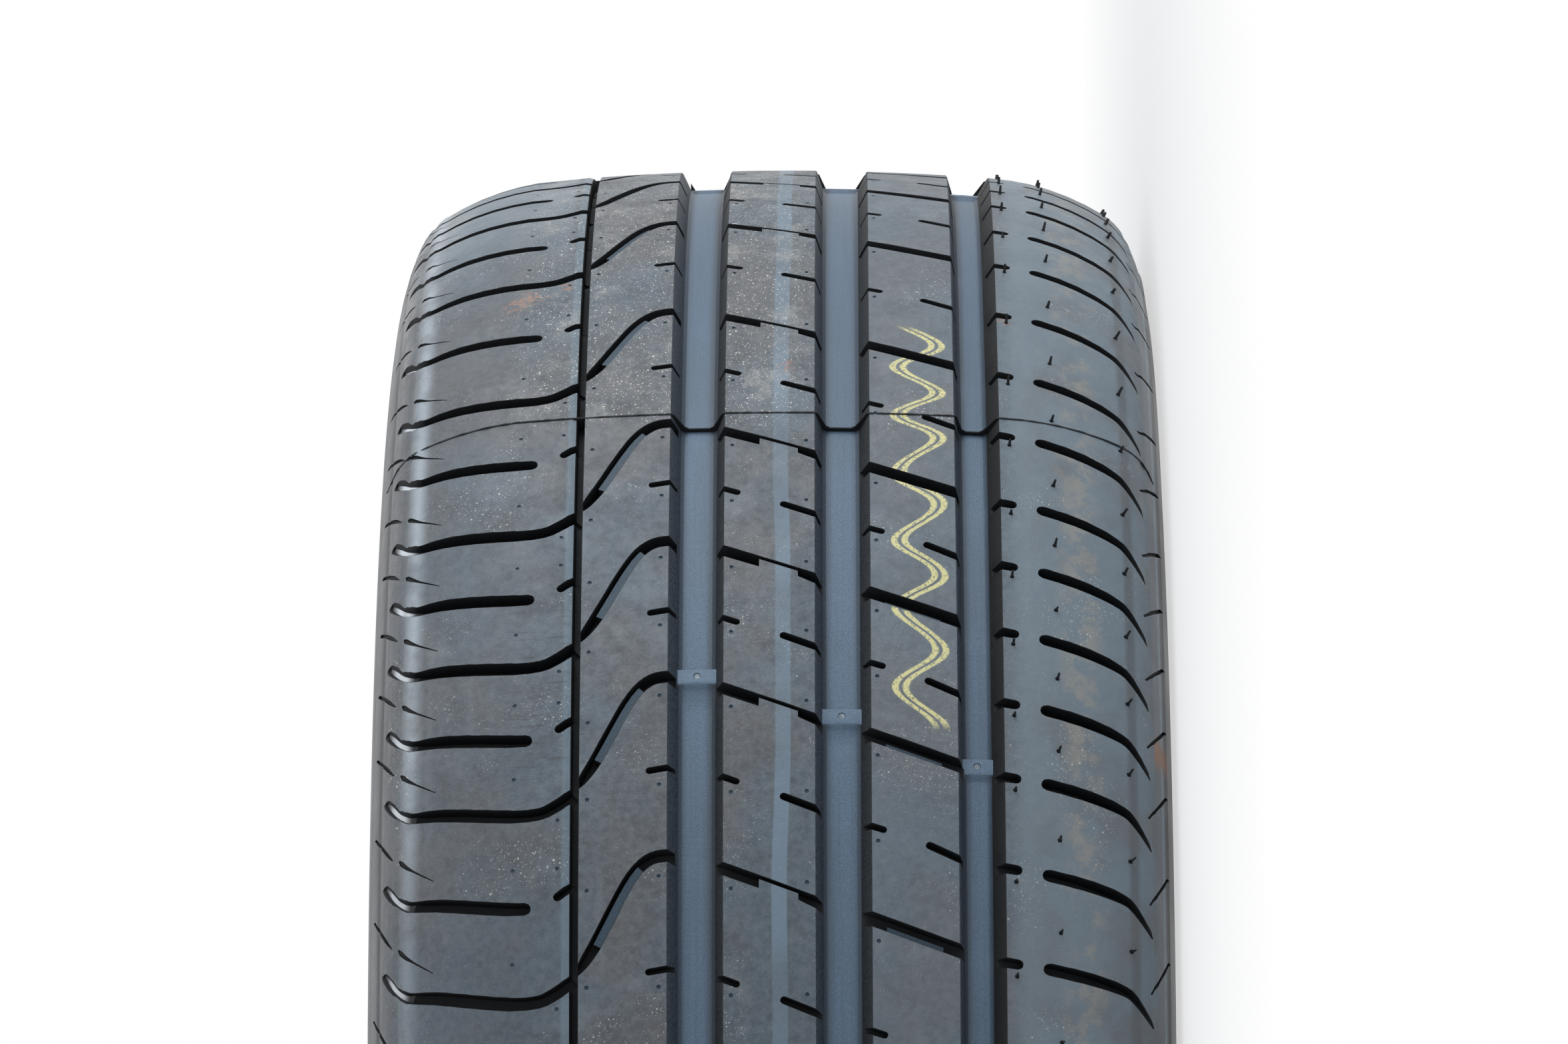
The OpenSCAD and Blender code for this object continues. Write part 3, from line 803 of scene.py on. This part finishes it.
def sidewall_rubber():
    f = Finish("sidewall_rubber")
    cloudy = f.noise(24, 4, 0.6)
    colour = f.blend(f.span(cloudy, 0.35, 0.68), (0.062, 0.068, 0.08), (0.088, 0.086, 0.092))
    fine = f.noise(420, 4, 0.7)
    colour = f.blend(f.span(fine, 0.4, 0.7, 0.0, 0.4), colour, (0.14, 0.15, 0.16))
    # Dark at the upper edge of the tread
    edge = f.times(f.span(f.height, 0.1186, 0.1198, 0.0, 0.75), f.span(f.radius, 0.285, 0.3))
    colour = f.blend(edge, colour, (0.022, 0.023, 0.03))
    # Painted light: the lower shoulder is bluer and paler, standing in for light bounced up from the floor
    colour = f.blend(f.span(f.height, -0.111, -0.117, 0.0, 0.7), colour, (0.15, 0.175, 0.205))
    line = f.times(f.band(f.height, -0.1206, -0.1199, 0.0002), f.span(f.noise(300, 2), 0.3, 0.5, 0.5, 1.0))
    colour = f.blend(f.times(line, 0.8), colour, (0.27, 0.37, 0.44))
    colour = f.blend(f.span(f.height, -0.1206, -0.1212, 0.0, 0.75), colour, (0.07, 0.072, 0.076))
    specks = f.cells(900)
    grit = f.times(f.span(specks.outputs["Distance"], 0.08, 0.17, 1, 0), f.span(specks.outputs["Color"], 0.7, 0.74), 0.6)
    colour = f.blend(grit, colour, (0.45, 0.45, 0.44))
    mud = f.times(f.spot(0.0905, -0.1182, 0.008), f.band(f.height, -0.1222, -0.1155, 0.0002), f.span(f.noise(160, 2), 0.3, 0.4))
    colour = f.blend(f.times(mud, 1.0), colour, (0.3, 0.145, 0.08))
    grain = f.math("ADD", f.noise(2200, 2), f.math("MULTIPLY", f.noise(260, 3), 1.2))
    # Fine radial ribs in a band round the flank
    ribs = f.math("SINE", f.math("MULTIPLY", f.math("ARCTAN2", f.y, f.x), 720.0))
    serrated = f.times(ribs, f.band(f.radius, 0.2575, 0.2665, 0.0004))
    height = f.math("ADD", f.math("MULTIPLY", grain, 0.12), f.math("MULTIPLY", serrated, 0.5))
    return f.finish(colour, f.span(cloudy, 0.3, 0.7, 0.34, 0.48), height, 0.0005)


def liner_rubber():
    f = Finish("liner_rubber")
    a = f.math("SINE", f.math("ADD", f.math("MULTIPLY", f.along, 900.0), f.math("MULTIPLY", f.height, 700.0)))
    b = f.math("SINE", f.math("SUBTRACT", f.math("MULTIPLY", f.along, 900.0), f.math("MULTIPLY", f.height, 700.0)))
    weave = f.math("ADD", a, b)
    colour = f.blend(f.span(f.noise(30, 3), 0.35, 0.65), (0.03, 0.031, 0.034), (0.05, 0.051, 0.053))
    return f.finish(colour, 0.42, weave, 0.0003)


tyre = make_tyre([
    tread_rubber(), groove_rubber(),
    plain_rubber("wear_bar_rubber", 1900, (0.105, 0.165, 0.235), (0.15, 0.225, 0.315), 0.45),
    # Painted shade: the upper walls of the wide grooves, much darker than the tread
    plain_rubber("upper_wall_shade", 1100, (0.017, 0.025, 0.037), (0.048, 0.062, 0.08), 0.6, bump=0.00015),
    lower_wall_shade(),
    # Painted shade: near-black for the slots, fine groove, sipes, stud holes, mould fins and vent whiskers
    plain_rubber("slot_shade", 1200, (0.0032, 0.0039, 0.0053), (0.007, 0.0084, 0.011), 0.7, gloss=0.33),
    plain_rubber("ledge_rubber", 1500, (0.022, 0.044, 0.068), (0.038, 0.07, 0.1), 0.55, gloss=0.4),
    # Painted glints: the slots' shallow ends and the wear bars' dimples
    slot_end_glint(), plain_rubber("dimple_glint", 900, (0.15, 0.19, 0.23), (0.34, 0.38, 0.42), 0.4),
    sidewall_rubber(), liner_rubber(),
    plain_rubber("bead_rubber", 60, (0.04, 0.042, 0.047), (0.075, 0.078, 0.083), 0.4, bump=0.0002)])
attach(tyre, "root")
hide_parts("tyre")


# Adds up the rays that see the white background: the camera's, and those in reflections and through glass
def seeing_rays(tree):
    path = tree.nodes.new("ShaderNodeLightPath")
    total = path.outputs["Is Camera Ray"]
    for name in ("Is Glossy Ray", "Is Transmission Ray"):
        plus = tree.nodes.new("ShaderNodeMath")
        plus.operation = "ADD"
        plus.use_clamp = True
        tree.links.new(total, plus.inputs[0])
        tree.links.new(path.outputs[name], plus.inputs[1])
        total = plus.outputs[0]
    return total


# White paper that keeps the shadow near the tyre and fades to plain white further off
def white_paper():
    paper = bpy.data.materials.new("white_paper")
    paper.use_nodes = True
    tree = paper.node_tree
    shader = tree.nodes["Principled BSDF"]
    shader.inputs["Base Color"].default_value = (0.9, 0.9, 0.9, 1)
    shader.inputs["Roughness"].default_value = 0.9
    shader.inputs["Specular IOR Level"].default_value = 0.0
    glow = tree.nodes.new("ShaderNodeEmission")
    place = tree.nodes.new("ShaderNodeTexCoord")
    far = tree.nodes.new("ShaderNodeVectorMath")
    far.operation = "LENGTH"
    tree.links.new(place.outputs["Object"], far.inputs[0])
    share = tree.nodes.new("ShaderNodeMapRange")
    tree.links.new(far.outputs["Value"], share.inputs["Value"])
    for name, value in (("From Min", 0.36), ("From Max", 0.9), ("To Min", 0.6), ("To Max", 1.0)):
        share.inputs[name].default_value = value
    seen = tree.nodes.new("ShaderNodeMath")
    seen.operation = "MULTIPLY"
    tree.links.new(seeing_rays(tree), seen.inputs[0])
    tree.links.new(share.outputs[0], seen.inputs[1])
    mix = tree.nodes.new("ShaderNodeMixShader")
    tree.links.new(seen.outputs[0], mix.inputs[0])
    tree.links.new(shader.outputs[0], mix.inputs[1])
    tree.links.new(glow.outputs[0], mix.inputs[2])
    tree.links.new(mix.outputs[0], tree.nodes["Material Output"].inputs["Surface"])
    return paper


def studio():
    bm = bmesh.new()
    bmesh.ops.create_circle(bm, cap_ends=True, segments=64, radius=14.0)
    bmesh.ops.translate(bm, verts=bm.verts, vec=(0, 0, cad_box[0].z - 0.0008))
    mesh_object("floor", bm, [white_paper()])
    world = bpy.data.worlds.new("studio")
    bpy.context.scene.world = world
    world.use_nodes = True
    tree = world.node_tree
    lit = tree.nodes["Background"]
    lit.inputs["Color"].default_value = (0.88, 0.94, 1.0, 1)
    lit.inputs["Strength"].default_value = 0.56
    shown = tree.nodes.new("ShaderNodeBackground")
    shown.inputs["Color"].default_value = (1, 1, 1, 1)
    mix = tree.nodes.new("ShaderNodeMixShader")
    tree.links.new(seeing_rays(tree), mix.inputs[0])
    tree.links.new(lit.outputs[0], mix.inputs[1])
    tree.links.new(shown.outputs[0], mix.inputs[2])
    tree.links.new(mix.outputs[0], tree.nodes["World Output"].inputs["Surface"])


def soft_light(name, place, aim, size, power, colour):
    lamp = bpy.data.lights.new(name, "AREA")
    lamp.shape = "SQUARE"
    lamp.size = size
    lamp.energy = power
    lamp.color = colour
    holder = bpy.data.objects.new(name, lamp)
    bpy.context.scene.collection.objects.link(holder)
    place, aim = Vector(place), Vector(aim)
    holder.matrix_world = Matrix.Translation(place) @ (aim - place).to_track_quat("-Z", "Y").to_matrix().to_4x4()


def photo_camera():
    lens = bpy.data.cameras.new("camera")
    lens.lens = 203.366
    lens.sensor_width = 36.0
    lens.clip_end = 100.0
    holder = bpy.data.objects.new("camera", lens)
    bpy.context.scene.collection.objects.link(holder)
    right = Vector((-0.0044174, 0.00828899, -0.99995589))
    ahead = Vector((0.06959943, 0.99754325, 0.00796152))
    up = Vector((0.99756524, -0.06956119, -0.00498346))
    look = Matrix((right, up, -ahead)).transposed()
    holder.matrix_world = Matrix.Translation((0.0, -2.993018, -0.0262058)) @ look.to_4x4()
    bpy.context.scene.camera = holder


studio()
soft_light("sky_light", (3.0, -0.8, 0.35), (0.2, -0.1, 0), 2.4, 69, (0.93, 0.97, 1.0))
soft_light("top_light", (1.2, -0.4, 2.6), (0, 0, 0), 2.2, 14, (1.0, 0.98, 0.95))
photo_camera()

scene = bpy.context.scene
scene.view_settings.view_transform = "Standard"
